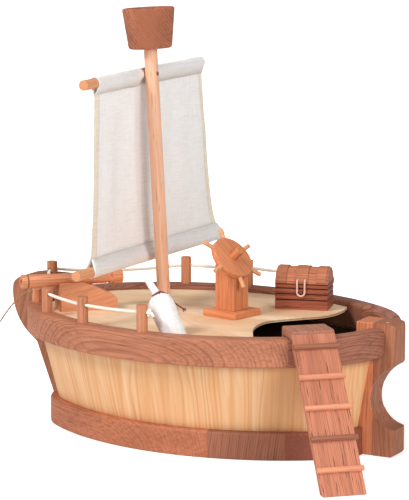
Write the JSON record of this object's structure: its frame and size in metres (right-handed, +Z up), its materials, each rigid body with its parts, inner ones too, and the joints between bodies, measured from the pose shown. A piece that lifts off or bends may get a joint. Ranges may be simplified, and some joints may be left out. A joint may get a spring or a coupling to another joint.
{
  "type": "toy ark",
  "caption": "Wooden toy ark: oval ship with flared pine hull, raked mast, linen sail, crow's nest, helm, chest, cannon, sack, rope rail and boarding ladder.",
  "frame": {"origin": "On the floor under the middle of the hull, in the underside of the bottom board.", "axes": "Bow to -X, stern to +X, port to -Y, +Z up."},
  "size_m": [0.692, 0.5128, 0.6329],
  "materials": {
    "cherry": "oiled",
    "pine": "oiled",
    "birch": "oiled",
    "beech": "oiled",
    "alder": "oiled",
    "linen": "matte",
    "cotton": "matte",
    "ribbon": "matte",
    "rope": "matte",
    "leather": "matte"
  },
  "bodies": {
    "hull": {"ring_port_fore": "cherry", "ring_port_mid": "cherry", "ring_port_aft": "cherry", "ring_star_fore": "cherry", "ring_star_mid": "cherry", "ring_star_aft": "cherry", "bottom_board": "birch", "wall_port": "pine", "wall_star": "pine", "gun_port_fore": "cherry", "gun_port_aft": "cherry", "gun_star_fore": "cherry", "gun_star_aft": "cherry", "stem": "cherry", "stern_post": "alder", "stern_block_top": "cherry", "stern_block_low": "cherry", "stern_plug": "birch", "deck": "birch", "cleat_port": "birch", "cleat_star": "birch", "mast_step": "birch", "rail_posts_port": "alder", "rail_posts_star": "alder", "rail_post_bow": "alder", "rail_rope": "rope", "bow_peg": "alder", "bow_string": "leather"},
    "rig": {"mast": "beech", "crows_nest": "cherry", "yard_upper": "beech", "yard_peg": "alder"},
    "sail_set": {"sail": "linen", "yard_lower": "beech"},
    "helm": {"helm_plate_board": "alder", "helm_column": "alder"},
    "wheel": {"helm_wheel": "alder", "helm_spokes": "beech", "helm_axle": "alder"},
    "chest": {"chest_body": "cherry", "chest_hinge": "beech", "chest_latch": "birch"},
    "lid": {"chest_lid": "cherry", "chest_bands": "cherry", "chest_loop": "rope"},
    "cannon": {"cannon_barrel": "alder", "cannon_carriage": "alder", "cannon_pin": "beech"},
    "sack_body": {"sack": "cotton", "sack_tie": "ribbon"},
    "ladder": {"ladder_plank": "cherry", "ladder_hook": "cherry", "ladder_rungs": "beech"}
  },
  "joints": [
    {"name": "rig_turn", "type": "hinge", "parent": "hull", "child": "rig", "pos_m": [-0.0795, 0, 0.179], "axis": [-0.0584, 0, 0.9983], "range_deg": [-20, 20]},
    {"name": "sail_swing", "type": "hinge", "parent": "rig", "child": "sail_set", "pos_m": [-0.11774, 0, 0.53187], "axis": [-0.0008, 0.9999, 0.0139], "range_deg": [-2, 20]},
    {"name": "helm_lift", "type": "slide", "parent": "hull", "child": "helm", "axis": [0, 0, 1], "range_m": [0, 0.12]},
    {"name": "wheel_spin", "type": "hinge", "parent": "helm", "child": "wheel", "pos_m": [0.0295, 0.009, 0.264], "axis": [0.7365, -0.1646, 0.6561], "continuous": true},
    {"name": "chest_lift", "type": "slide", "parent": "hull", "child": "chest", "axis": [0, 0, 1], "range_m": [0, 0.12]},
    {"name": "lid_open", "type": "hinge", "parent": "chest", "child": "lid", "pos_m": [0.09017, 0.14304, 0.218], "axis": [-0.9664, -0.2571, 0], "range_deg": [0, 100], "deforming": ["chest_loop"]},
    {"name": "cannon_slide", "type": "slide", "parent": "hull", "child": "cannon", "axis": [0.682, 0.7314, 0], "range_m": [0, 0.015]},
    {"name": "sack_lift", "type": "slide", "parent": "hull", "child": "sack_body", "axis": [0, 0, 1], "range_m": [0, 0.12]},
    {"name": "ladder_lift", "type": "slide", "parent": "hull", "child": "ladder", "axis": [0, 0, 1], "range_m": [0, 0.06]}
  ]
}
